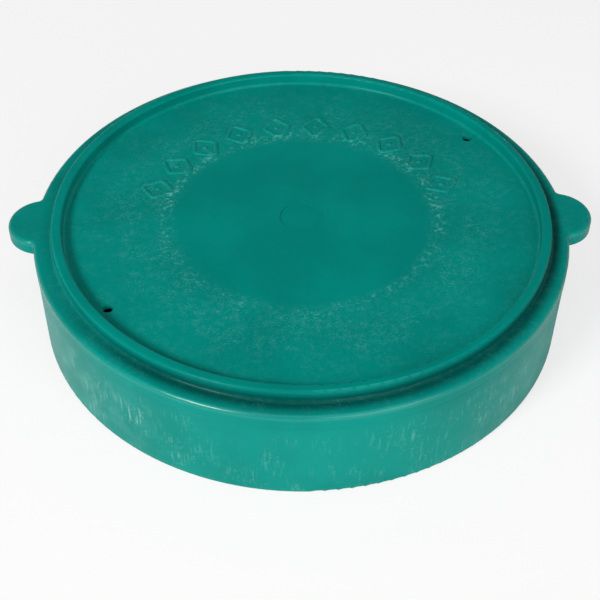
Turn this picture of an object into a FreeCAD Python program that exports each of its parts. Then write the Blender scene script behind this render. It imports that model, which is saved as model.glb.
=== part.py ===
import FreeCAD, Part
import Sketcher
import math
import os

# Round two-piece tortilla warmer: a straight-sided base bowl and a press-on lid with two pry
# tabs and two steam vents. Millimetres, +Z up. The origin is the centre of the foot ring on
# the table, and the tabs lie on the X axis.

PARTS_FOLDER = "parts"

# How near a measured edge has to be to the place it is looked for
TOUCH = 0.01

# Driving sizes: alias, value, what it measures
SIZES = (
    ("lid_radius", 101.0, "centre to the outside of the lid's skirt"),
    ("lid_wall", 1.8, "thickness of the lid's plate and shoulder"),
    ("skirt_depth", 5.6, "top of the shoulder down to the skirt's lower rim"),
    ("skirt_wall", 1.5, "thickness of the skirt"),
    ("shoulder_width", 6.9, "skirt's outside in to the foot of the raised ring"),
    ("shoulder_edge_radius", 1.6, "rounding of the lid's outer top edge"),
    ("ring_width", 3.8, "width of the raised ring across its top"),
    ("ring_height", 4.6, "raised ring above the plate"),
    ("ring_draft", 2.0, "slope of the ring's two sides, in degrees"),
    ("ring_edge_radius", 1.0, "rounding of the ring's two top edges"),
    ("ring_foot_radius", 1.2, "rounding where the ring meets the plate"),
    ("channel_width", 1.2, "channel that cores out the ring from below"),
    ("channel_roof", 1.4, "plastic left above that channel"),
    ("tab_width", 26.0, "width of a pry tab along the rim"),
    ("tab_reach", 10.0, "pry tab beyond the skirt"),
    ("tab_wall", 1.6, "thickness of a pry tab's turned-down edge"),
    ("tab_root_radius", 2.0, "rounding where a pry tab leaves the skirt"),
    ("vent_diameter", 3.8, "steam vent"),
    ("vent_inset", 5.1, "foot of the raised ring in to a vent's centre"),
    ("vent_angle", 35.0, "first vent, from the X axis, in degrees"),
    ("gate_dish_diameter", 16.6, "shallow dish round the lid's moulding gate"),
    ("gate_dish_depth", 0.3, "depth of that dish"),
    ("rim_height", 37.6, "table to the top of the base's neck"),
    ("wall_recess", 0.2, "base's wall in from the lid's skirt, at the seam"),
    ("wall_draft", 0.3, "slope of the base's outside, in degrees"),
    ("neck_wall", 1.5, "thickness of the neck inside the skirt"),
    ("neck_lead", 0.4, "bevel that guides the lid onto the neck"),
    ("mouth_edge_radius", 0.3, "rounding of the neck's inner top edge"),
    ("fit_clearance", 0.3, "radial gap between neck and skirt"),
    ("seam_gap", 0.2, "gap below the skirt's lower rim"),
    ("seam_edge_radius", 0.2, "rounding of the two edges at the seam"),
    ("bowl_draft", 0.6, "slope of the base's inside, in degrees"),
    ("bowl_corner_radius", 4.0, "rounding inside, from floor to wall"),
    ("floor_thickness", 2.4, "base's floor"),
    ("foot_height", 1.0, "foot ring below the floor"),
    ("foot_ring_width", 9.5, "foot ring in from the base's wall"),
    ("foot_edge_radius", 0.4, "rounding of the foot ring's inner edge"),
    ("bottom_edge_radius", 1.2, "rounding of the base's outer bottom edge"),
    ("gate_stub_diameter", 7.0, "gate stub under the middle of the floor"),
    ("gate_stub_height", 0.5, "height of that stub"),
)

# Sizes that follow from the driving ones, as formulas of the sheet. The lid's own are
# measured from its skirt's lower rim and the base's own from the table.
DERIVED = (
    ("skirt_bore_radius", "lid_radius - skirt_wall"),
    ("cap_depth", "skirt_depth - lid_wall"),
    ("ring_top", "skirt_depth + ring_height"),
    ("ring_spread", "ring_height * tan(ring_draft * 1deg)"),
    ("ring_outer_foot", "lid_radius - shoulder_width"),
    ("ring_outer_top", "ring_outer_foot - ring_spread"),
    ("ring_inner_top", "ring_outer_top - ring_width"),
    ("ring_inner_foot", "ring_inner_top - ring_spread"),
    ("channel_outer_radius", "ring_outer_top - (ring_width - channel_width) / 2"),
    ("channel_inner_radius", "channel_outer_radius - channel_width"),
    ("channel_depth", "ring_top - channel_roof"),
    ("tab_radius", "tab_width / 2"),
    ("tab_centre", "lid_radius + tab_reach - tab_radius"),
    ("tab_hollow_radius", "tab_radius - tab_wall"),
    ("vent_radius", "vent_diameter / 2"),
    ("vent_circle_radius", "ring_inner_foot - vent_inset"),
    ("vent_across", "vent_circle_radius * cos(vent_angle * 1deg)"),
    ("vent_up", "vent_circle_radius * sin(vent_angle * 1deg)"),
    ("gate_dish_radius", "gate_dish_diameter / 2"),
    ("lid_seat_height", "rim_height - cap_depth"),
    ("seam_height", "lid_seat_height - seam_gap"),
    ("wall_radius", "lid_radius - wall_recess"),
    ("wall_foot_radius", "wall_radius - seam_height * tan(wall_draft * 1deg)"),
    ("neck_radius", "skirt_bore_radius - fit_clearance"),
    ("mouth_radius", "neck_radius - neck_wall"),
    ("floor_top", "foot_height + floor_thickness"),
    ("floor_radius", "mouth_radius - (rim_height - floor_top) * tan(bowl_draft * 1deg)"),
    ("foot_recess_radius", "wall_foot_radius - foot_ring_width"),
    ("gate_stub_radius", "gate_stub_diameter / 2"),
)

doc = FreeCAD.newDocument("tortilla_warmer")


# The sheet of sizes

def make_sheet():
    """Fill the sheet, one row a size: what it measures, its value and its alias."""
    sheet = doc.addObject("Spreadsheet::Sheet", "sizes")
    rows = [(alias, str(value), meaning) for alias, value, meaning in SIZES]
    rows += [(alias, "=" + formula, "follows from the sizes above") for alias, formula in DERIVED]
    for row, (alias, content, meaning) in enumerate(rows, start=1):
        sheet.set(f"A{row}", meaning)
        sheet.set(f"B{row}", content)
        sheet.setAlias(f"B{row}", alias)
    doc.recompute()
    return sheet


sizes = make_sheet()


def size(alias):
    """The number that the sheet holds under this alias."""
    return float(getattr(sizes, alias))


# Sketches

def origin_feature(body, role):
    """One of the body's own origin planes or axes."""
    return [feature for feature in body.Origin.OriginFeatures if feature.Role == role][0]


def make_sketch(body, name, plane, level=None):
    """A sketch on one of the body's origin planes, raised by the size named level."""
    sketch = body.newObject("Sketcher::SketchObject", name)
    sketch.AttachmentSupport = [(origin_feature(body, plane), "")]
    sketch.MapMode = "FlatFace"
    if level:
        sketch.setExpression("AttachmentOffset.Base.z", "sizes." + level)
    return sketch


def bind(sketch, name, alias, *constraint):
    """Add a constraint with a name, whose value is the size under this alias."""
    index = sketch.addConstraint(Sketcher.Constraint(*constraint, size(alias)))
    sketch.renameConstraint(index, name)
    sketch.setExpression("Constraints." + name, "sizes." + alias)


def place_point(sketch, name, geometry, point, across, up):
    """Hold a point at two sizes from the sketch's origin; None keeps it on that axis."""
    if across:
        bind(sketch, name + "_across", across, "DistanceX", -1, 1, geometry, point)
    else:
        sketch.addConstraint(Sketcher.Constraint("PointOnObject", geometry, point, -2))
    if up:
        bind(sketch, name + "_up", up, "DistanceY", -1, 1, geometry, point)
    else:
        sketch.addConstraint(Sketcher.Constraint("PointOnObject", geometry, point, -1))


def draw_outline(sketch, corners):
    """A closed outline of straight lines; a corner is (name, size across, size up)."""
    points = []
    for _, across, up in corners:
        x = size(across) if across else 0.0
        y = size(up) if up else 0.0
        points.append(FreeCAD.Vector(x, y, 0))
    count = len(points)
    for i in range(count):
        sketch.addGeometry(Part.LineSegment(points[i], points[(i + 1) % count]), False)
    for i in range(count):
        sketch.addConstraint(Sketcher.Constraint("Coincident", i, 2, (i + 1) % count, 1))
    for i, (name, across, up) in enumerate(corners):
        place_point(sketch, name, i, 1, across, up)


def draw_circle(sketch, name, radius, across=None, up=None):
    """A circle of a named radius, centred at two sizes from the origin or on its axes."""
    x = size(across) if across else 0.0
    y = size(up) if up else 0.0
    circle = Part.Circle(FreeCAD.Vector(x, y, 0), FreeCAD.Vector(0, 0, 1), size(radius))
    index = sketch.addGeometry(circle, False)
    place_point(sketch, name, index, 3, across, up)
    bind(sketch, name + "_radius", radius, "Radius", index)


def draw_lune(sketch, disc_radius, disc_centre, ring_radius):
    """The part of a disc centred on the X axis that lies outside a circle at the origin."""
    disc, centre, ring = size(disc_radius), size(disc_centre), size(ring_radius)
    meet_x = (ring ** 2 + centre ** 2 - disc ** 2) / (2 * centre)
    meet_y = math.sqrt(ring ** 2 - meet_x ** 2)
    up = FreeCAD.Vector(0, 0, 1)
    disc_turn = math.atan2(meet_y, meet_x - centre)
    ring_turn = math.atan2(meet_y, meet_x)
    disc_circle = Part.Circle(FreeCAD.Vector(centre, 0, 0), up, disc)
    ring_circle = Part.Circle(FreeCAD.Vector(0, 0, 0), up, ring)
    outer = sketch.addGeometry(Part.ArcOfCircle(disc_circle, -disc_turn, disc_turn), False)
    inner = sketch.addGeometry(Part.ArcOfCircle(ring_circle, -ring_turn, ring_turn), False)
    sketch.addConstraint(Sketcher.Constraint("Coincident", outer, 1, inner, 1))
    sketch.addConstraint(Sketcher.Constraint("Coincident", outer, 2, inner, 2))
    place_point(sketch, "disc", outer, 3, disc_centre, None)
    bind(sketch, "disc_radius", disc_radius, "Radius", outer)
    sketch.addConstraint(Sketcher.Constraint("Coincident", inner, 3, -1, 1))
    bind(sketch, "ring_radius", ring_radius, "Radius", inner)


# Features

def settle(body, feature, change):
    """Recompute, and check that the feature adds or cuts volume as it should."""
    before = body.Shape.Volume if body.Tip and not body.Shape.isNull() else 0.0
    body.Tip = feature
    doc.recompute()
    if feature.Shape.isNull() or not feature.Shape.isValid():
        raise RuntimeError(feature.Name + " has no valid shape")
    grown = feature.Shape.Volume - before
    if (change == "adds" and grown <= 0) or (change == "cuts" and grown >= 0):
        raise RuntimeError(feature.Name + " changes the volume the wrong way")
    return feature


def turn_profile(body, name, sketch, kind, change):
    """Turn a profile once round the vertical axis."""
    feature = body.newObject("PartDesign::" + kind, name)
    feature.Profile = sketch
    feature.ReferenceAxis = (sketch, ["V_Axis"])
    feature.Angle = 360
    return settle(body, feature, change)


def raise_pad(body, name, sketch, length, downwards=False):
    """Add material from a sketch's plane."""
    feature = body.newObject("PartDesign::Pad", name)
    feature.Profile = sketch
    feature.Reversed = downwards
    feature.setExpression("Length", "sizes." + length)
    return settle(body, feature, "adds")


def cut_pocket(body, name, sketch, depth=None, upwards=True):
    """Cut from a sketch's plane, to a named depth or right through."""
    feature = body.newObject("PartDesign::Pocket", name)
    feature.Profile = sketch
    feature.Reversed = upwards
    if depth:
        feature.setExpression("Length", "sizes." + depth)
    else:
        feature.Type = "ThroughAll"
    return settle(body, feature, "cuts")


def repeat_opposite(body, name, original, change):
    """Repeat a feature on the other side of the vertical axis."""
    feature = body.newObject("PartDesign::PolarPattern", name)
    feature.Originals = [original]
    feature.Axis = (origin_feature(body, "Z_Axis"), [""])
    feature.Angle = 360
    feature.Occurrences = 2
    return settle(body, feature, change)


def edges_where(feature, test):
    """The names of the feature's edges that pass a test."""
    return [f"Edge{i}" for i, edge in enumerate(feature.Shape.Edges, start=1) if test(edge)]


def points_of(edge):
    """A few points along an edge."""
    return edge.discretize(5)


def on_circle(radius, height):
    """A test for an edge round the vertical axis at a radius and a height."""
    def test(edge):
        return all(abs(math.hypot(point.x, point.y) - radius) < TOUCH
                   and abs(point.z - height) < TOUCH for point in points_of(edge))
    return test


def outside_at(radius, height):
    """A test for an edge at a height that runs nowhere inside a radius."""
    def test(edge):
        return all(math.hypot(point.x, point.y) > radius - TOUCH
                   and abs(point.z - height) < TOUCH for point in points_of(edge))
    return test


def upright_at(radius):
    """A test for an upright edge at a radius."""
    def test(edge):
        points = points_of(edge)
        return (all(abs(math.hypot(point.x, point.y) - radius) < TOUCH for point in points)
                and abs(points[0].z - points[-1].z) > TOUCH)
    return test


def round_edges(body, name, radius, *tests):
    """Round the tip's edges that pass any of the tests."""
    base = body.Tip
    edges = edges_where(base, lambda edge: any(test(edge) for test in tests))
    feature = body.newObject("PartDesign::Fillet", name)
    feature.Base = (base, edges)
    feature.setExpression("Radius", "sizes." + radius)
    return settle(body, feature, "rounds")


def bevel_edges(body, name, width, test):
    """Bevel the tip's edges that pass a test."""
    base = body.Tip
    feature = body.newObject("PartDesign::Chamfer", name)
    feature.Base = (base, edges_where(base, test))
    feature.setExpression("Size", "sizes." + width)
    return settle(body, feature, "cuts")


# The lid, drawn with its skirt's lower rim at the height of its own origin

def make_lid():
    """Plate, raised ring, shoulder and skirt with two pry tabs, cored out from below."""
    body = doc.addObject("PartDesign::Body", "lid")
    body.Label = "lid"
    body.setExpression("Placement.Base.z", "sizes.lid_seat_height")

    profile = make_sketch(body, "lid_profile", "XZ_Plane")
    draw_outline(profile, (
        ("axis_low", None, None),
        ("rim_low", "lid_radius", None),
        ("rim_top", "lid_radius", "skirt_depth"),
        ("ring_outer_foot", "ring_outer_foot", "skirt_depth"),
        ("ring_outer_top", "ring_outer_top", "ring_top"),
        ("ring_inner_top", "ring_inner_top", "ring_top"),
        ("ring_inner_foot", "ring_inner_foot", "skirt_depth"),
        ("axis_top", None, "skirt_depth"),
    ))
    turn_profile(body, "lid_blank", profile, "Revolution", "adds")

    tab_outline = make_sketch(body, "tab_outline", "XY_Plane")
    draw_circle(tab_outline, "tab", "tab_radius", "tab_centre")
    tab = raise_pad(body, "tab", tab_outline, "skirt_depth")
    repeat_opposite(body, "tab_pair", tab, "adds")

    lid_radius, skirt_depth, ring_top = size("lid_radius"), size("skirt_depth"), size("ring_top")
    round_edges(body, "tab_roots", "tab_root_radius", upright_at(lid_radius))
    round_edges(body, "shoulder_edge", "shoulder_edge_radius", outside_at(lid_radius, skirt_depth))
    round_edges(body, "skirt_lower_edge", "seam_edge_radius", outside_at(lid_radius, 0.0))
    round_edges(body, "ring_edges", "ring_edge_radius",
                on_circle(size("ring_outer_top"), ring_top),
                on_circle(size("ring_inner_top"), ring_top))
    round_edges(body, "ring_feet", "ring_foot_radius",
                on_circle(size("ring_outer_foot"), skirt_depth),
                on_circle(size("ring_inner_foot"), skirt_depth))

    cap_outline = make_sketch(body, "cap_outline", "XY_Plane")
    draw_circle(cap_outline, "bore", "skirt_bore_radius")
    cut_pocket(body, "cap_space", cap_outline, "cap_depth")

    channel_outline = make_sketch(body, "channel_outline", "XY_Plane")
    draw_circle(channel_outline, "outside", "channel_outer_radius")
    draw_circle(channel_outline, "inside", "channel_inner_radius")
    cut_pocket(body, "ring_channel", channel_outline, "channel_depth")

    hollow_outline = make_sketch(body, "hollow_outline", "XY_Plane")
    draw_lune(hollow_outline, "tab_hollow_radius", "tab_centre", "lid_radius")
    hollow = cut_pocket(body, "tab_hollow", hollow_outline, "cap_depth")
    repeat_opposite(body, "tab_hollow_pair", hollow, "cuts")

    vent_outline = make_sketch(body, "vent_outline", "XY_Plane")
    draw_circle(vent_outline, "vent", "vent_radius", "vent_across", "vent_up")
    vent = cut_pocket(body, "vent", vent_outline)
    repeat_opposite(body, "vent_pair", vent, "cuts")

    dish_outline = make_sketch(body, "dish_outline", "XY_Plane", "skirt_depth")
    draw_circle(dish_outline, "dish", "gate_dish_radius")
    cut_pocket(body, "gate_dish", dish_outline, "gate_dish_depth", upwards=False)
    return body


# The base, drawn from the table up

def make_base():
    """Bowl with a straight wall, a neck that the lid sits on, and a foot ring."""
    body = doc.addObject("PartDesign::Body", "base")
    body.Label = "base"

    profile = make_sketch(body, "base_profile", "XZ_Plane")
    draw_outline(profile, (
        ("axis_low", None, None),
        ("wall_foot", "wall_foot_radius", None),
        ("wall_top", "wall_radius", "seam_height"),
        ("neck_foot", "neck_radius", "seam_height"),
        ("neck_top", "neck_radius", "rim_height"),
        ("axis_top", None, "rim_height"),
    ))
    turn_profile(body, "base_blank", profile, "Revolution", "adds")

    bowl_profile = make_sketch(body, "bowl_profile", "XZ_Plane")
    draw_outline(bowl_profile, (
        ("axis_floor", None, "floor_top"),
        ("floor_edge", "floor_radius", "floor_top"),
        ("mouth", "mouth_radius", "rim_height"),
        ("axis_mouth", None, "rim_height"),
    ))
    turn_profile(body, "bowl", bowl_profile, "Groove", "cuts")

    recess_outline = make_sketch(body, "recess_outline", "XY_Plane")
    draw_circle(recess_outline, "recess", "foot_recess_radius")
    cut_pocket(body, "foot_recess", recess_outline, "foot_height")

    stub_outline = make_sketch(body, "stub_outline", "XY_Plane", "foot_height")
    draw_circle(stub_outline, "stub", "gate_stub_radius")
    raise_pad(body, "gate_stub", stub_outline, "gate_stub_height", downwards=True)

    rim_height = size("rim_height")
    round_edges(body, "bowl_corner", "bowl_corner_radius",
                on_circle(size("floor_radius"), size("floor_top")))
    round_edges(body, "bottom_edge", "bottom_edge_radius",
                on_circle(size("wall_foot_radius"), 0.0))
    round_edges(body, "foot_edge", "foot_edge_radius",
                on_circle(size("foot_recess_radius"), 0.0))
    round_edges(body, "wall_top_edge", "seam_edge_radius",
                on_circle(size("wall_radius"), size("seam_height")))
    round_edges(body, "mouth_edge", "mouth_edge_radius",
                on_circle(size("mouth_radius"), rim_height))
    bevel_edges(body, "neck_lead", "neck_lead",
                on_circle(size("neck_radius"), rim_height))
    return body


# Build, check, and write one file for each piece

def check(pieces):
    """Stop if anything in the document failed or a piece isn't one valid solid."""
    doc.recompute()
    for thing in doc.Objects:
        if "Invalid" in thing.State or "Error" in thing.State:
            raise RuntimeError(thing.Name + " failed: " + str(thing.State))
    for piece in pieces:
        if piece.Shape.isNull() or not piece.Shape.isValid() or len(piece.Shape.Solids) != 1:
            raise RuntimeError(piece.Label + " isn't one valid solid")


def write(pieces):
    """Write each piece to its own file and print its size."""
    os.makedirs(PARTS_FOLDER, exist_ok=True)
    for piece in pieces:
        piece.Shape.exportStep(os.path.join(PARTS_FOLDER, piece.Label + ".step"))
        box = piece.Shape.BoundBox
        print(f"{piece.Label}: {box.XLength:.2f} x {box.YLength:.2f} x {box.ZLength:.2f} mm, "
              f"from z {box.ZMin:.2f} to {box.ZMax:.2f}, {piece.Shape.Volume / 1000:.1f} cm3")


pieces = (make_base(), make_lid())
check(pieces)
write(pieces)
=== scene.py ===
import logging
import math
from dataclasses import dataclass
from enum import Enum

import bpy
from mathutils import Matrix, Vector


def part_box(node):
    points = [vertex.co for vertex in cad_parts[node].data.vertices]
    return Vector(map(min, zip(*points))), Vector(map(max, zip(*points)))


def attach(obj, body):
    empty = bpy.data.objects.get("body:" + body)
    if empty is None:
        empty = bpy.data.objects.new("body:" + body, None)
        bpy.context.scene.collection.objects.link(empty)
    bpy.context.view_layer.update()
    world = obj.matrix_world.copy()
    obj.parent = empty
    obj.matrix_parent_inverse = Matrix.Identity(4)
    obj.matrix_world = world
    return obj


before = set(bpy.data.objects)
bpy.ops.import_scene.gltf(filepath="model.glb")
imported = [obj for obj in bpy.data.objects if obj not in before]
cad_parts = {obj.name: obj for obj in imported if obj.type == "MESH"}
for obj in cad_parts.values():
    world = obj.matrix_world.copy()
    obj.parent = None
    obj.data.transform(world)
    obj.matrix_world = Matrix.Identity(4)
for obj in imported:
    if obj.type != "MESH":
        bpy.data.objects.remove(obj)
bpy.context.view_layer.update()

MM = 0.001
SHARP_FROM = math.radians(30.0)
MERGE_DISTANCE = 0.0005 * MM

Tree = bpy.types.NodeTree
Node = bpy.types.Node
Socket = bpy.types.NodeSocket

# Settings of the Math node, and numbers of the Mix node's colour sockets
TIMES = {"operation": "MULTIPLY"}
TIMES_PLUS = {"operation": "MULTIPLY_ADD"}
FIRST_COLOUR, SECOND_COLOUR, MIXED_COLOUR = 6, 7, 2

log = logging.getLogger("tortilla_warmer")


# Nodes and colour

def linear(hex_code: str) -> tuple[float, float, float, float]:
    """Turn an sRGB hex colour into the linear colour that a shader socket takes.

    Args:
        hex_code: Six hex digits with a leading hash.

    Returns:
        Linear red, green, blue and an alpha of 1.
    """
    channels = [int(hex_code[i:i + 2], 16) / 255 for i in (1, 3, 5)]
    made = [c / 12.92 if c <= 0.04045 else ((c + 0.055) / 1.055) ** 2.4 for c in channels]
    return (made[0], made[1], made[2], 1.0)


def add_node(tree: Tree, kind: str, settings: dict | None = None,
             links: dict | None = None) -> Node:
    """Add a node, set its properties and sockets, and link what feeds it.

    Args:
        tree: The tree that the node goes into.
        kind: The node's type name.
        settings: Property names, or socket names and numbers, to values.
        links: Socket names or numbers to what feeds them: an output socket, or a node, which
            stands for its first output.

    Returns:
        The new node.
    """
    node = tree.nodes.new(kind)
    for key, value in (settings or {}).items():
        if isinstance(key, str) and hasattr(node, key):
            setattr(node, key, value)
        else:
            node.inputs[key].default_value = value
    for key, source in (links or {}).items():
        feed = source.outputs[0] if isinstance(source, Node) else source
        tree.links.new(feed, node.inputs[key])
    return node


# Places and patterns on the surface

@dataclass(frozen=True)
class Spot:
    """What tells where a shaded spot lies on a piece, in metres.

    Its out is the distance from the warmer's upright axis.
    """

    place: Socket
    x: Socket
    y: Socket
    z: Socket
    out: Node


def find_spot(tree: Tree) -> Spot:
    """Add the nodes that tell where a shaded spot lies, on Object coordinates.

    Args:
        tree: The material's tree.

    Returns:
        The spot's coordinates and its distance out from the upright axis.
    """
    place = add_node(tree, "ShaderNodeTexCoord").outputs["Object"]
    axes = add_node(tree, "ShaderNodeSeparateXYZ", None, {"Vector": place}).outputs
    squares = [add_node(tree, "ShaderNodeMath", TIMES, {0: axes[name], 1: axes[name]})
               for name in ("X", "Y")]
    total = add_node(tree, "ShaderNodeMath", {"operation": "ADD"}, dict(enumerate(squares)))
    out = add_node(tree, "ShaderNodeMath", {"operation": "SQRT"}, {0: total})
    return Spot(place, axes["X"], axes["Y"], axes["Z"], out)


@dataclass(frozen=True)
class Step:
    """A smooth step of a measure: at_low up to low, and at_high from high on."""

    low: float
    high: float
    at_low: float = 0.0
    at_high: float = 1.0

    def settings(self, unit: float = 1.0) -> dict:
        """Settings with which a Map Range node makes the step.

        Args:
            unit: What low and high are counted in, MM where they are millimetres.

        Returns:
            Property and socket names to values.
        """
        return {"interpolation_type": "SMOOTHSTEP", "From Min": self.low * unit,
                "From Max": self.high * unit, "To Min": self.at_low, "To Max": self.at_high}


@dataclass(frozen=True)
class Band:
    """A stretch along one measure, where a pattern comes in and then goes out."""

    comes_in_mm: Step
    goes_out_mm: Step

    def lay(self, tree: Tree, measure: Socket | Node) -> Node:
        """Say how far each spot is inside the band.

        Args:
            tree: The material's tree.
            measure: The measure, in metres.

        Returns:
            The node whose first output is that share.
        """
        ends = [add_node(tree, "ShaderNodeMapRange", step.settings(MM), {"Value": measure})
                for step in (self.comes_in_mm, self.goes_out_mm)]
        return add_node(tree, "ShaderNodeMath", TIMES, dict(enumerate(ends)))


@dataclass(frozen=True)
class Grain:
    """Noise whose grain is a real size, longer along an axis by its stretch.

    Its offset moves the pattern, so that two of them differ. Its cut turns the soft noise
    into spots with plain surface between them.
    """

    size_mm: float
    detail: float = 2.0
    roughness: float = 0.5
    stretch: tuple[float, float, float] = (1.0, 1.0, 1.0)
    offset: float = 0.0
    offset_way: tuple[float, float, float] = (1.0, 0.7, 1.3)
    cut: Step | None = None

    def lay(self, tree: Tree, place: Socket) -> Node:
        """Lay the pattern over a surface.

        Args:
            tree: The material's tree.
            place: The coordinates, in metres.

        Returns:
            The node whose first output is the pattern's value.
        """
        scale = tuple(1.0 / (self.size_mm * MM * share) for share in self.stretch)
        shift = tuple(self.offset * share for share in self.offset_way)
        moved = add_node(tree, "ShaderNodeMapping", {"Scale": scale, "Location": shift},
                         {"Vector": place})
        soft = add_node(tree, "ShaderNodeTexNoise",
                        {"Scale": 1.0, "Detail": self.detail, "Roughness": self.roughness},
                        {"Vector": moved})
        if self.cut is None:
            return soft
        return add_node(tree, "ShaderNodeMapRange", self.cut.settings(), {"Value": soft})


# Wear, with painted shade in the ring's channel and painted sheen at the wall's sides

@dataclass(frozen=True)
class HandledEdges:
    """Shinier rounding of the shoulder and pry tabs, where hands have polished the lid."""

    rim_mm: Step = Step(98.8, 99.8)
    rounding: Band = Band(Step(37.2, 38.0), Step(39.25, 39.38, 1.0, 0.15))

    def lay(self, tree: Tree, spot: Spot) -> Node:
        """Say how polished each spot is.

        Args:
            tree: The material's tree.
            spot: Where the shaded spot lies.

        Returns:
            The node whose first output is that, from 0 to 1.
        """
        rim = add_node(tree, "ShaderNodeMapRange", self.rim_mm.settings(MM), {"Value": spot.out})
        return add_node(tree, "ShaderNodeMath", TIMES,
                        {0: rim, 1: self.rounding.lay(tree, spot.z)})


@dataclass(frozen=True)
class PaintedChannelShade:
    """Painted shade in the channel outside the raised ring, where the shoulder meets it.

    It is darker towards the front and the right, where the channel is more shaded. On the base it
    darkens the neck that the lid covers.
    """

    channel: Band = Band(Step(93.0, 93.7), Step(95.6, 99.8, 1.0, 0.0))
    height_mm: Step = Step(40.0, 43.9, 1.0, 0.3)
    rightward: float = 0.55
    front_mm: Step = Step(-15.0, 55.0, 0.15, 0.88)

    def lay(self, tree: Tree, spot: Spot) -> Node:
        """Say how dark the painted shade makes each spot.

        Args:
            tree: The material's tree.
            spot: Where the shaded spot lies.

        Returns:
            The node whose first output is that, from 0 to 1.
        """
        # painted shade: darkest low in the channel, towards the front and the right
        low = add_node(tree, "ShaderNodeMapRange", self.height_mm.settings(MM), {"Value": spot.z})
        right = add_node(tree, "ShaderNodeMath", TIMES | {1: self.rightward}, {0: spot.x})
        toward = add_node(tree, "ShaderNodeMath", {"operation": "SUBTRACT"}, {0: right, 1: spot.y})
        front = add_node(tree, "ShaderNodeMapRange", self.front_mm.settings(MM), {"Value": toward})
        channel_shade = add_node(tree, "ShaderNodeMath", TIMES, {0: self.channel.lay(tree, spot.out), 1: low})
        return add_node(tree, "ShaderNodeMath", TIMES, {0: channel_shade, 1: front})


@dataclass(frozen=True)
class FrostedPlate:
    """Pale specks and haze on the outer part of the lid's plate, with rubs at its inner rim."""

    band: Band = Band(Step(46.0, 52.0, 0.10, 1.0), Step(62.0, 88.0, 1.0, 0.40))
    plate: Band = Band(Step(38.5, 39.2), Step(40.2, 41.0, 1.0, 0.08))
    patches: Grain = Grain(9.0, detail=3.0, offset=3.0, cut=Step(0.32, 0.66, 0.3))
    specks: Grain = Grain(0.6, cut=Step(0.50, 0.76))
    speck_share: float = 0.23
    haze: Grain = Grain(2.6, detail=4.0, offset=9.0, cut=Step(0.40, 0.78))
    haze_share: float = 0.12
    inner_rim: Band = Band(Step(47.0, 50.5), Step(52.0, 57.0, 1.0, 0.0))
    rubs: Grain = Grain(1.6, detail=4.0, offset=6.0, cut=Step(0.50, 0.72))
    behind_mm: Step = Step(-30.0, 20.0, 0.35, 0.75)

    def lay(self, tree: Tree, spot: Spot) -> Node:
        """Say how worn each spot is.

        Args:
            tree: The material's tree.
            spot: Where the shaded spot lies.

        Returns:
            The node whose first output is that, from 0 to 1.
        """
        patches = self.patches.lay(tree, spot.place)
        worn = self.rubbed_rim(tree, spot, patches)
        for grain, share in ((self.specks, self.speck_share), (self.haze, self.haze_share)):
            strength = add_node(tree, "ShaderNodeMath", TIMES | {1: share}, {0: patches})
            worn = add_node(tree, "ShaderNodeMath", TIMES_PLUS,
                            {0: grain.lay(tree, spot.place), 1: strength, 2: worn})
        where = add_node(tree, "ShaderNodeMath", TIMES,
                         {0: self.band.lay(tree, spot.out), 1: self.plate.lay(tree, spot.z)})
        return add_node(tree, "ShaderNodeMath", TIMES | {"use_clamp": True}, {0: worn, 1: where})

    def rubbed_rim(self, tree: Tree, spot: Spot, patches: Node) -> Node:
        """Say how rubbed each spot of the frosting's inner rim is, more so at the back.

        Args:
            tree: The material's tree.
            spot: Where the shaded spot lies.
            patches: The patches in which the frosting lies.

        Returns:
            The node whose first output is that.
        """
        behind = add_node(tree, "ShaderNodeMapRange", self.behind_mm.settings(MM),
                          {"Value": spot.y})
        rubbed = add_node(tree, "ShaderNodeMath", TIMES,
                          {0: self.rubs.lay(tree, spot.place), 1: patches})
        rubbed = add_node(tree, "ShaderNodeMath", TIMES, {0: rubbed, 1: behind})
        return add_node(tree, "ShaderNodeMath", TIMES,
                        {0: self.inner_rim.lay(tree, spot.out), 1: rubbed})


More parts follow.
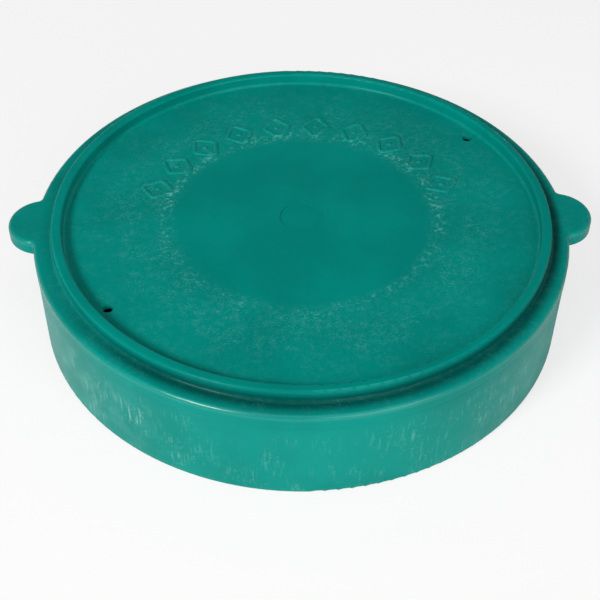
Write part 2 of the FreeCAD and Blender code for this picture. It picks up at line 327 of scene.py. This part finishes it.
@dataclass(frozen=True)
class RubbedWallAndSideSheen:
    """Pale upright rubs and specks on the base's outer wall, with painted sheen as pale patches
    towards its left and right sides, where the rubs are also laid stronger.
    """

    streaks: Grain = Grain(0.9, detail=3.0, stretch=(1.0, 1.0, 7.0), cut=Step(0.52, 0.74))
    streak_share: float = 0.42
    specks: Grain = Grain(1.0, detail=3.0, offset=7.0, cut=Step(0.56, 0.74))
    speck_share: float = 0.30
    patches: Grain = Grain(11.0, detail=3.0, offset=2.0, cut=Step(0.36, 0.66))
    haze: Grain = Grain(3.0, detail=3.0, stretch=(1.0, 1.0, 3.0), offset=4.0, cut=Step(0.45, 0.8))
    haze_share: float = 0.02
    sheen_clouds: Grain = Grain(8.0, detail=5.0, roughness=0.6, offset=8.0, cut=Step(0.38, 0.72))
    sheen_sides_mm: Step = Step(45.0, 85.0, 0.0, 0.22)
    worn_and_sheen_sides_mm: Step = Step(15.0, 70.0, 0.45, 1.3)
    below_seam_mm: Step = Step(27.0, 32.5, 1.0, 0.1)
    outside_mm: Step = Step(98.0, 99.8, 0.1, 1.0)

    def lay(self, tree: Tree, spot: Spot) -> Node:
        """Say how worn each spot is, with the painted sheen at the wall's sides added in.

        Args:
            tree: The material's tree.
            spot: Where the shaded spot lies.

        Returns:
            The node whose first output is that, from 0 to 1.
        """
        sideways = add_node(tree, "ShaderNodeMath", {"operation": "ABSOLUTE"}, {0: spot.x})
        # painted sheen: pale patches and stronger rubs towards the wall's left and right sides,
        # fainter rubs at its front
        sheen_share, sides, below, outside = (
            add_node(tree, "ShaderNodeMapRange", step.settings(MM), {"Value": measure})
            for step, measure in ((self.sheen_sides_mm, sideways), (self.worn_and_sheen_sides_mm, sideways),
                                  (self.below_seam_mm, spot.z), (self.outside_mm, spot.out)))
        worn = add_node(tree, "ShaderNodeMath", TIMES_PLUS,
                        {0: self.sheen_clouds.lay(tree, spot.place), 1: sheen_share,
                         2: self.rubs(tree, spot)})
        where = add_node(tree, "ShaderNodeMath", TIMES, {0: sides, 1: below})
        where = add_node(tree, "ShaderNodeMath", TIMES, {0: where, 1: outside})
        return add_node(tree, "ShaderNodeMath", TIMES | {"use_clamp": True}, {0: worn, 1: where})

    def rubs(self, tree: Tree, spot: Spot) -> Node:
        """Streaks and specks that lie in patches, over a thin haze.

        Args:
            tree: The material's tree.
            spot: Where the shaded spot lies.

        Returns:
            The node whose first output is how rubbed each spot is.
        """
        haze = add_node(tree, "ShaderNodeMath", TIMES | {1: self.haze_share},
                        {0: self.haze.lay(tree, spot.place)})
        specks = add_node(tree, "ShaderNodeMath", TIMES | {1: self.speck_share},
                          {0: self.specks.lay(tree, spot.place)})
        marks = add_node(tree, "ShaderNodeMath", TIMES_PLUS | {1: self.streak_share},
                         {0: self.streaks.lay(tree, spot.place), 2: specks})
        return add_node(tree, "ShaderNodeMath", TIMES_PLUS,
                        {0: marks, 1: self.patches.lay(tree, spot.place), 2: haze})


class Scuff(Enum):
    """How a moulding has worn; on the base's wall this includes painted sheen at its sides."""

    FROSTED_PLATE = FrostedPlate()
    RUBBED_WALL_AND_SIDE_SHEEN = RubbedWallAndSideSheen()


# Finishes

@dataclass(frozen=True)
class MouldedPolypropylene:
    """Injection-moulded polypropylene, dyed teal-green through, with a satin mould finish.

    Polypropylene is soft and slightly waxy: its gloss is broad and low, thin edges let a
    little light in, and rubbing leaves pale frosted marks rather than dark scratches. The
    mould's grain is drawn coarser than the real one, so that it shows.
    """

    name: str
    scuff: Scuff
    edges: HandledEdges | None = None
    body: str = "#00897e"
    deep: str = "#008076"
    # painted shade laid into the shaded channel outside the raised ring
    painted_channel_shade: str = "#003f3b"
    # pale frosting of rubs and specks; on the base's wall it is also laid as painted sheen at the
    # sides
    frost: str = "#66c0b8"
    roughness: float = 0.30
    worn_roughness: float = 0.35
    ior: float = 1.49
    gloss: float = 0.07
    edge_gloss: float = 0.28
    translucence: float = 0.05
    scatter: tuple[float, float, float] = (0.4, 1.0, 0.9)
    scatter_mm: float = 2.0
    flow: Grain = Grain(34.0, detail=3.0, cut=Step(0.35, 0.65))
    mould_grain: Grain = Grain(0.9, detail=3.0, offset=5.0)
    worn_height: float = 0.8
    relief: float = 0.12
    relief_mm: float = 0.05

    def build(self) -> bpy.types.Material:
        """Make the material, with its colour, gloss and relief from nodes.

        Returns:
            The material.
        """
        made = bpy.data.materials.new(self.name)
        made.use_nodes = True
        tree = made.node_tree
        tree.nodes.clear()
        spot = find_spot(tree)
        worn = self.scuff.value.lay(tree, spot)
        rough = add_node(tree, "ShaderNodeMath",
                         TIMES_PLUS | {1: self.worn_roughness, 2: self.roughness}, {0: worn})
        height = add_node(tree, "ShaderNodeMath", TIMES_PLUS | {1: self.worn_height},
                          {0: worn, 2: self.mould_grain.lay(tree, spot.place)})
        relief = add_node(tree, "ShaderNodeBump",
                          {"Strength": self.relief, "Distance": self.relief_mm * MM},
                          {"Height": height})
        links = {"Base Color": self.colour(tree, spot, worn), "Roughness": rough,
                 "Normal": relief}
        if self.edges is not None:
            links["Specular IOR Level"] = add_node(
                tree, "ShaderNodeMath", TIMES_PLUS | {1: self.edge_gloss, 2: self.gloss},
                {0: self.edges.lay(tree, spot)})
        shader = add_node(tree, "ShaderNodeBsdfPrincipled", {
            "IOR": self.ior,
            "Specular IOR Level": self.gloss,
            "Subsurface Weight": self.translucence,
            "Subsurface Radius": self.scatter,
            "Subsurface Scale": self.scatter_mm * MM,
        }, links)
        add_node(tree, "ShaderNodeOutputMaterial", None, {"Surface": shader})
        return made

    def colour(self, tree: Tree, spot: Spot, worn: Node) -> Socket:
        """Dye with a faint flow in it, then the painted shade in the ring's channel, then the pale
        frosting, which on the base's wall also holds painted sheen at its sides.

        Args:
            tree: The material's tree.
            spot: Where the shaded spot lies.
            worn: How worn each spot is.

        Returns:
            The colour's socket.
        """
        colour = add_node(
            tree, "ShaderNodeMix",
            {"data_type": "RGBA", FIRST_COLOUR: linear(self.deep), SECOND_COLOUR: linear(self.body)},
            {"Factor": self.flow.lay(tree, spot.place)}).outputs[MIXED_COLOUR]
        # first the painted shade of the ring's channel, then the pale frosting, which on the base's
        # wall also holds painted sheen
        for amount, shade in ((PaintedChannelShade().lay(tree, spot), self.painted_channel_shade), (worn, self.frost)):
            colour = add_node(
                tree, "ShaderNodeMix", {"data_type": "RGBA", SECOND_COLOUR: linear(shade)},
                {"Factor": amount, FIRST_COLOUR: colour}).outputs[MIXED_COLOUR]
        return colour


@dataclass(frozen=True)
class MattCard:
    """Matt pale card of the studio floor, with a barely visible tooth.

    The camera sees it near white with its shadow, and wholly white far out, so that the
    floor's edge doesn't show.
    """

    name: str = "studio_card_matt"
    shade: str = "#f4f4f2"
    roughness: float = 0.9
    tooth: Grain = Grain(1.5)
    relief: float = 0.05
    relief_mm: float = 0.05
    whitening_m: Step = Step(0.3, 1.2, 0.72, 1.0)

    def build(self) -> bpy.types.Material:
        """Make the card's material.

        Returns:
            The material.
        """
        made = bpy.data.materials.new(self.name)
        made.use_nodes = True
        tree = made.node_tree
        tree.nodes.clear()
        spot = find_spot(tree)
        relief = add_node(tree, "ShaderNodeBump",
                          {"Strength": self.relief, "Distance": self.relief_mm * MM},
                          {"Height": self.tooth.lay(tree, spot.place)})
        card = add_node(tree, "ShaderNodeBsdfPrincipled",
                        {"Base Color": linear(self.shade), "Roughness": self.roughness},
                        {"Normal": relief})
        white = add_node(tree, "ShaderNodeEmission", {"Strength": 1.0})
        path = add_node(tree, "ShaderNodeLightPath").outputs
        far = add_node(tree, "ShaderNodeMapRange", self.whitening_m.settings(),
                       {"Value": spot.out})
        amount = add_node(tree, "ShaderNodeMath", TIMES, {0: path["Is Camera Ray"], 1: far})
        seen = add_node(tree, "ShaderNodeMixShader", None, {"Fac": amount, 1: card, 2: white})
        add_node(tree, "ShaderNodeOutputMaterial", None, {"Surface": seen})
        return made


# Meshes

def smooth_shading_tree(angle: float) -> Tree:
    """Geometry Nodes that close a loose-triangle mesh and shade its curved faces smooth.

    Args:
        angle: Edges that turn by more than this, in radians, stay sharp.

    Returns:
        The node group.
    """
    tree = bpy.data.node_groups.new("moulded_shell_shading", "GeometryNodeTree")
    for way in ("INPUT", "OUTPUT"):
        tree.interface.new_socket("Geometry", in_out=way, socket_type="NodeSocketGeometry")
    shell = add_node(tree, "NodeGroupInput")
    closed = add_node(tree, "GeometryNodeMergeByDistance", {"Distance": MERGE_DISTANCE},
                      {"Geometry": shell})
    soft = add_node(tree, "GeometryNodeSetShadeSmooth", {"domain": "FACE", "Shade Smooth": True},
                    {"Geometry": closed})
    turn = add_node(tree, "GeometryNodeInputMeshEdgeAngle")
    sharp = add_node(tree, "FunctionNodeCompare",
                     {"data_type": "FLOAT", "operation": "GREATER_THAN", 1: angle}, {0: turn})
    edged = add_node(tree, "GeometryNodeSetShadeSmooth", {"domain": "EDGE", "Shade Smooth": False},
                     {"Geometry": soft, "Selection": sharp})
    add_node(tree, "NodeGroupOutput", None, {0: edged})
    return tree


def dress_node(node: str, finish: bpy.types.Material, shading: Tree) -> bpy.types.Object:
    """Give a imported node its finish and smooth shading, with its mesh as it is.

    Args:
        node: The node's name.
        finish: The material for all of its faces.
        shading: The node group that smooths its curved faces.

    Returns:
        The node's object.
    """
    shell = bpy.data.objects[node]
    if shell.material_slots:
        for slot in shell.material_slots:
            slot.material = finish
    else:
        shell.data.materials.append(finish)
    smoother = shell.modifiers.new("shell_shading", "NODES")
    smoother.node_group = shading
    weighted = shell.modifiers.new("flat_faces_stay_flat", "WEIGHTED_NORMAL")
    weighted.keep_sharp = True
    return shell


def bake_modifier(host: bpy.types.Object, maker: bpy.types.Modifier, values: dict,
                  name: str) -> bpy.types.Object:
    """Run a Geometry Nodes modifier once and keep its result as a plain mesh.

    Args:
        host: The object that holds the modifier, removed afterwards.
        maker: The modifier.
        values: Input names to values.
        name: Name of the finished object.

    Returns:
        The finished object, with no modifier, at the origin.
    """
    for item in maker.node_group.interface.items_tree:
        if item.in_out == "INPUT" and item.name in values:
            maker[item.identifier] = values[item.name]
    host.update_tag()
    graph = bpy.context.evaluated_depsgraph_get()
    mesh = bpy.data.meshes.new_from_object(host.evaluated_get(graph), depsgraph=graph)
    mesh.name = name
    bpy.data.objects.remove(host)
    made = bpy.data.objects.new(name, mesh)
    bpy.context.scene.collection.objects.link(made)
    return made


@dataclass(frozen=True)
class LozengeBorder:
    """Plain raised lozenges along an arc, each with a low dome in its middle.

    Their strokes and domes are seated in the plate up to their half height.
    """

    name: str = "plate_border"
    count: int = 10
    circle_mm: float = 58.5
    reach_mm: float = 14.0
    width_mm: float = 11.0
    stroke_mm: float = 2.0
    rise_mm: float = 0.55
    first_angle: float = math.radians(19.0)
    sweep: float = math.radians(143.0)
    corner_share: float = 0.8
    corner_runs: int = 4
    stroke_sides: int = 12
    dome_spread: float = 1.2
    dome_segments: int = 16
    dome_rings: int = 8

    def build(self, plate_top: float, material: bpy.types.Material) -> bpy.types.Object:
        """Make the border as one plain mesh, seated in the plate.

        Args:
            plate_top: Height of the plate's top, in metres.
            material: The finish of the lozenges.

        Returns:
            The border's object.
        """
        host = bpy.data.objects.new("border_maker", bpy.data.meshes.new("border_maker"))
        bpy.context.scene.collection.objects.link(host)
        maker = host.modifiers.new("border", "NODES")
        maker.node_group = self.border_tree(material)
        values = {
            "Count": self.count,
            "Circle": self.circle_mm * MM,
            "Reach": self.reach_mm * MM,
            "Width": self.width_mm * MM,
            "Stroke": self.stroke_mm * MM,
            "Rise": self.rise_mm * MM,
            "First Angle": self.first_angle,
            "Sweep": self.sweep,
            "Level": plate_top,
        }
        return bake_modifier(host, maker, values, self.name)

    def border_tree(self, material: bpy.types.Material) -> Tree:
        """Geometry Nodes that lay the lozenges along the arc.

        Args:
            material: The finish of the lozenges.

        Returns:
            The node group, with its sizes as named inputs.
        """
        tree = bpy.data.node_groups.new("lozenge_border", "GeometryNodeTree")
        face = tree.interface
        face.new_socket("Geometry", in_out="OUTPUT", socket_type="NodeSocketGeometry")
        face.new_socket("Count", in_out="INPUT", socket_type="NodeSocketInt")
        for name in ("Circle", "Reach", "Width", "Stroke", "Rise", "First Angle", "Sweep", "Level"):
            face.new_socket(name, in_out="INPUT", socket_type="NodeSocketFloat")
        sizes = add_node(tree, "NodeGroupInput").outputs
        half_stroke = add_node(tree, "ShaderNodeMath", TIMES | {1: 0.5}, {0: sizes["Stroke"]})
        flatness = add_node(tree, "ShaderNodeMath", {"operation": "DIVIDE"},
                            {0: sizes["Rise"], 1: half_stroke})
        motif = add_node(tree, "GeometryNodeJoinGeometry")
        for form in (self.outline(tree, sizes, half_stroke, flatness),
                     self.dome(tree, half_stroke, flatness)):
            tree.links.new(form.outputs[0], motif.inputs[0])
        points, facing = self.arc_places(tree, sizes)
        placed = add_node(tree, "GeometryNodeInstanceOnPoints", None,
                          {"Points": points, "Instance": motif, "Rotation": facing})
        real = add_node(tree, "GeometryNodeRealizeInstances", None, {"Geometry": placed})
        dressed = add_node(tree, "GeometryNodeSetMaterial", {"Material": material},
                           {"Geometry": real})
        soft = add_node(tree, "GeometryNodeSetShadeSmooth", {"Shade Smooth": True},
                        {"Geometry": dressed})
        add_node(tree, "NodeGroupOutput", None, {0: soft})
        return tree

    def outline(self, tree: Tree, sizes: bpy.types.bpy_prop_collection, half_stroke: Node,
                flatness: Node) -> Node:
        """A kite with rounded corners, swept with a flattened round section.

        Args:
            tree: The border's tree.
            sizes: The border's sizes, by name.
            half_stroke: Half of the stroke's width.
            flatness: The stroke's rise as a share of half its width.

        Returns:
            The node whose first output is the outline's mesh.
        """
        half_reach = add_node(tree, "ShaderNodeMath", TIMES | {1: 0.5}, {0: sizes["Reach"]})
        kite = add_node(tree, "GeometryNodeCurvePrimitiveQuadrilateral", {"mode": "KITE"},
                        {"Width": sizes["Width"], "Bottom Height": half_reach,
                         "Top Height": half_reach})
        corner = add_node(tree, "ShaderNodeMath", TIMES | {1: self.corner_share},
                          {0: sizes["Stroke"]})
        rounded = add_node(tree, "GeometryNodeFilletCurve",
                           {"mode": "POLY", "Count": self.corner_runs},
                           {"Curve": kite, "Radius": corner})
        ring = add_node(tree, "GeometryNodeCurvePrimitiveCircle",
                        {"Resolution": self.stroke_sides}, {"Radius": half_stroke})
        squash = add_node(tree, "ShaderNodeCombineXYZ", {"X": 1.0, "Z": 1.0}, {"Y": flatness})
        section = add_node(tree, "GeometryNodeTransform", None,
                           {"Geometry": ring, "Scale": squash})
        return add_node(tree, "GeometryNodeCurveToMesh", None,
                        {"Curve": rounded, "Profile Curve": section})

    def dome(self, tree: Tree, half_stroke: Node, flatness: Node) -> Node:
        """A low dome in the middle of a lozenge.

        Args:
            tree: The border's tree.
            half_stroke: Half of the stroke's width.
            flatness: The stroke's rise as a share of half its width.

        Returns:
            The node whose first output is the dome's mesh.
        """
        ball = add_node(tree, "GeometryNodeMeshUVSphere",
                        {"Segments": self.dome_segments, "Rings": self.dome_rings},
                        {"Radius": half_stroke})
        squash = add_node(tree, "ShaderNodeCombineXYZ",
                          {"X": self.dome_spread, "Y": self.dome_spread}, {"Z": flatness})
        return add_node(tree, "GeometryNodeTransform", None, {"Geometry": ball, "Scale": squash})

    def arc_places(self, tree: Tree, sizes: bpy.types.bpy_prop_collection) -> tuple[Node, Node]:
        """Evenly spaced points on the arc, and the turn that faces each lozenge outwards.

        Args:
            tree: The border's tree.
            sizes: The border's sizes, by name.

        Returns:
            The node of the points and the node of their turns.
        """
        index = add_node(tree, "GeometryNodeInputIndex")
        last = add_node(tree, "ShaderNodeMath", {"operation": "SUBTRACT", 1: 1.0},
                        {0: sizes["Count"]})
        spacing = add_node(tree, "ShaderNodeMath", {"operation": "DIVIDE"},
                           {0: sizes["Sweep"], 1: last})
        turn = add_node(tree, "ShaderNodeMath", TIMES_PLUS,
                        {0: index, 1: spacing, 2: sizes["First Angle"]})
        corners = {"Z": sizes["Level"]}
        for axis, operation in (("X", "COSINE"), ("Y", "SINE")):
            share = add_node(tree, "ShaderNodeMath", {"operation": operation}, {0: turn})
            corners[axis] = add_node(tree, "ShaderNodeMath", TIMES,
                                     {0: share, 1: sizes["Circle"]})
        place = add_node(tree, "ShaderNodeCombineXYZ", None, corners)
        points = add_node(tree, "GeometryNodePoints", None,
                          {"Count": sizes["Count"], "Position": place})
        outwards = add_node(tree, "ShaderNodeMath", {"operation": "SUBTRACT", 1: math.pi / 2},
                            {0: turn})
        return points, add_node(tree, "ShaderNodeCombineXYZ", None, {"Z": outwards})


# The warmer

@dataclass
class Base:
    """The bowl that holds the stack."""

    node: str = "base"
    # its frost colour is laid both for the wall's rubs and as painted sheen at its sides
    finish: MouldedPolypropylene = MouldedPolypropylene(
        "polypropylene_moulded_rubbed", Scuff.RUBBED_WALL_AND_SIDE_SHEEN, frost="#86bcb5")

    def build(self, shading: Tree) -> list[bpy.types.Object]:
        """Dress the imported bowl.

        Args:
            shading: The node group that smooths curved faces.

        Returns:
            The bowl's object.
        """
        return [dress_node(self.node, self.finish.build(), shading)]


@dataclass
class Lid:
    """The press-on lid, with a plain raised border of lozenges on its plate."""

    node: str = "lid"
    ring_height_mm: float = 4.6
    finish: MouldedPolypropylene = MouldedPolypropylene(
        "polypropylene_moulded_frosted", Scuff.FROSTED_PLATE, edges=HandledEdges(),
        roughness=0.22)
    border: LozengeBorder = LozengeBorder()

    def build(self, shading: Tree) -> list[bpy.types.Object]:
        """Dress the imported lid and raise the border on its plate.

        Args:
            shading: The node group that smooths curved faces.

        Returns:
            The lid's object and the border's.
        """
        material = self.finish.build()
        shell = dress_node(self.node, material, shading)
        plate_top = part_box(self.node)[1].z - self.ring_height_mm * MM
        border = self.border.build(plate_top, material)
        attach(border, "lid")
        return [shell, border]


# The studio

@dataclass(frozen=True)
class Lamp:
    """One soft lamp; its level is how bright it alone makes a white card that faces it.

    Angles are in degrees, the lamp's side and distance in metres.
    """

    name: str
    azimuth: float
    elevation: float
    side: float
    level: float
    distance: float = 1.2


@dataclass
class Studio:
    """Pale floor, soft lights and the camera of the photo's view.

    The light is a soft key from the front left, with weaker fills. The air is pale at the
    horizon and dim overhead. Lengths that don't name millimetres are in metres.
    """

    lamps: tuple[Lamp, ...] = (
        Lamp("key", azimuth=-132.0, elevation=38.0, side=0.42, level=0.72, distance=1.6),
        Lamp("front_fill", azimuth=-62.0, elevation=28.0, side=0.8, level=0.38),
        Lamp("top_fill", azimuth=-80.0, elevation=80.0, side=0.9, level=0.16),
    )
    air: Step = Step(0.05, 0.42, 0.75, 0.10)
    floor_half: float = 2.5
    focal_mm: float = 73.6
    sensor_mm: float = 36.0
    nearest: float = 0.01
    farthest: float = 20.0
    elevation: float = math.radians(43.6)
    roll: float = math.radians(0.60)
    turn: float = math.radians(2.25)
    distance: float = 463.6 * MM
    offset_right: float = 0.3 * MM
    offset_up: float = 35.0 * MM

    def build(self) -> None:
        """Lay the floor, hang the lights and set the camera."""
        self.lay_floor()
        for lamp in self.lamps:
            self.hang_light(lamp)
        self.fill_world()
        self.set_camera()

    def lay_floor(self) -> None:
        """A wide flat card under the warmer."""
        half = self.floor_half
        corners = [(-half, -half, 0), (half, -half, 0), (half, half, 0), (-half, half, 0)]
        mesh = bpy.data.meshes.new("studio_floor")
        mesh.from_pydata(corners, [], [(0, 1, 2, 3)])
        mesh.materials.append(MattCard().build())
        floor = bpy.data.objects.new("studio_floor", mesh)
        bpy.context.scene.collection.objects.link(floor)

    def hang_light(self, lamp: Lamp) -> None:
        """One square soft light that faces the warmer.

        Args:
            lamp: Where it hangs, how wide it is and how bright it makes a white card.
        """
        data = bpy.data.lights.new(lamp.name, "AREA")
        data.size = lamp.side
        data.energy = lamp.level * math.pi ** 2 * lamp.distance ** 2
        light = bpy.data.objects.new(lamp.name, data)
        round_z = Matrix.Rotation(math.radians(lamp.azimuth), 3, "Z")
        rise = math.radians(lamp.elevation)
        place = round_z @ Vector((math.cos(rise), 0.0, math.sin(rise))) * lamp.distance
        light.location = place
        light.rotation_euler = (-place).to_track_quat("-Z", "Y").to_euler()
        bpy.context.scene.collection.objects.link(light)

    def fill_world(self) -> None:
        """Air that lights the warmer, and that the camera sees as white."""
        world = bpy.data.worlds.new("studio_air")
        world.use_nodes = True
        tree = world.node_tree
        tree.nodes.clear()
        path = add_node(tree, "ShaderNodeLightPath").outputs
        seen = add_node(tree, "ShaderNodeMath", {"operation": "MAXIMUM"},
                        {0: path["Is Camera Ray"], 1: path["Is Transmission Ray"]})
        way = add_node(tree, "ShaderNodeTexCoord").outputs["Generated"]
        rise = add_node(tree, "ShaderNodeSeparateXYZ", None, {"Vector": way}).outputs["Z"]
        air = add_node(tree, "ShaderNodeMapRange", self.air.settings(), {"Value": rise})
        strength = add_node(tree, "ShaderNodeMath", {"operation": "MAXIMUM"}, {0: air, 1: seen})
        light = add_node(tree, "ShaderNodeBackground", {"Color": (1.0, 1.0, 1.0, 1.0)},
                         {"Strength": strength})
        add_node(tree, "ShaderNodeOutputWorld", None, {"Surface": light})
        bpy.context.scene.world = world

    def set_camera(self) -> None:
        """Put the camera where the photo was taken from."""
        lid_top = Vector((0.0, 0.0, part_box("lid")[1].z))
        turned = Matrix.Rotation(-self.turn, 3, "Z")
        right = turned @ Vector((1, 0, 0))
        up = turned @ Vector((0, math.sin(self.elevation), math.cos(self.elevation)))
        back = turned @ Vector((0, -math.cos(self.elevation), math.sin(self.elevation)))
        place = (lid_top + back * self.distance - up * self.offset_up
                 - right * self.offset_right)
        cos_roll, sin_roll = math.cos(self.roll), math.sin(self.roll)
        rolled_right = right * cos_roll + up * sin_roll
        rolled_up = up * cos_roll - right * sin_roll
        data = bpy.data.cameras.new("photo_camera")
        data.lens = self.focal_mm
        data.sensor_width = self.sensor_mm
        data.clip_start = self.nearest
        data.clip_end = self.farthest
        camera = bpy.data.objects.new("photo_camera", data)
        axes = Matrix((rolled_right, rolled_up, back)).transposed().to_4x4()
        camera.matrix_world = Matrix.Translation(place) @ axes
        bpy.context.scene.collection.objects.link(camera)
        bpy.context.scene.camera = camera


def main() -> None:
    """Dress the warmer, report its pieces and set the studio."""
    logging.basicConfig(level=logging.INFO, format="%(name)s: %(message)s")
    bpy.context.scene.view_settings.view_transform = "Standard"
    shading = smooth_shading_tree(SHARP_FROM)
    for assembly in (Base(), Lid()):
        for piece in assembly.build(shading):
            finishes = [slot.name for slot in piece.material_slots if slot.material]
            log.info("%s is dressed in %s", piece.name, ", ".join(finishes))
    Studio().build()


if __name__ == "__main__":
    main()
